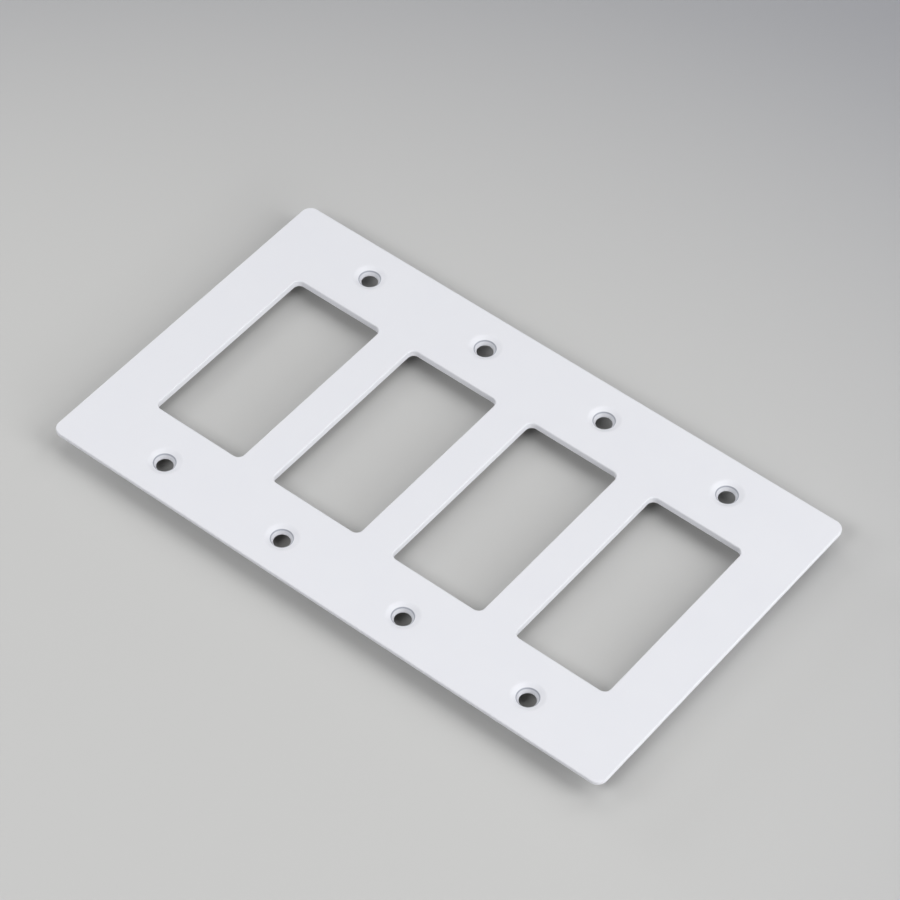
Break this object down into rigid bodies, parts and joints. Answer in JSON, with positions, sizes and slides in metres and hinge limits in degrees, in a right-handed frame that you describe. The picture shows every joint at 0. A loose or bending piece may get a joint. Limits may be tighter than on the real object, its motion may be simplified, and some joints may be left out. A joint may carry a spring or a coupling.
{
  "type": "wall plate",
  "caption": "Flat metal wall plate that frames a row of rocker-style devices, with a countersunk screw hole above and below each opening.",
  "frame": {"origin": "middle of the back, on the plane of the wall behind the plate", "axes": "+Z out of the wall through the face, +X along the row of openings, +Y up the wall"},
  "size_m": [0.208, 0.1212, 0.0023],
  "materials": {
    "white_powder_coat": "cool white satin powder coat"
  },
  "bodies": {
    "root": {"wall_plate": "white_powder_coat"}
  },
  "joints": []
}
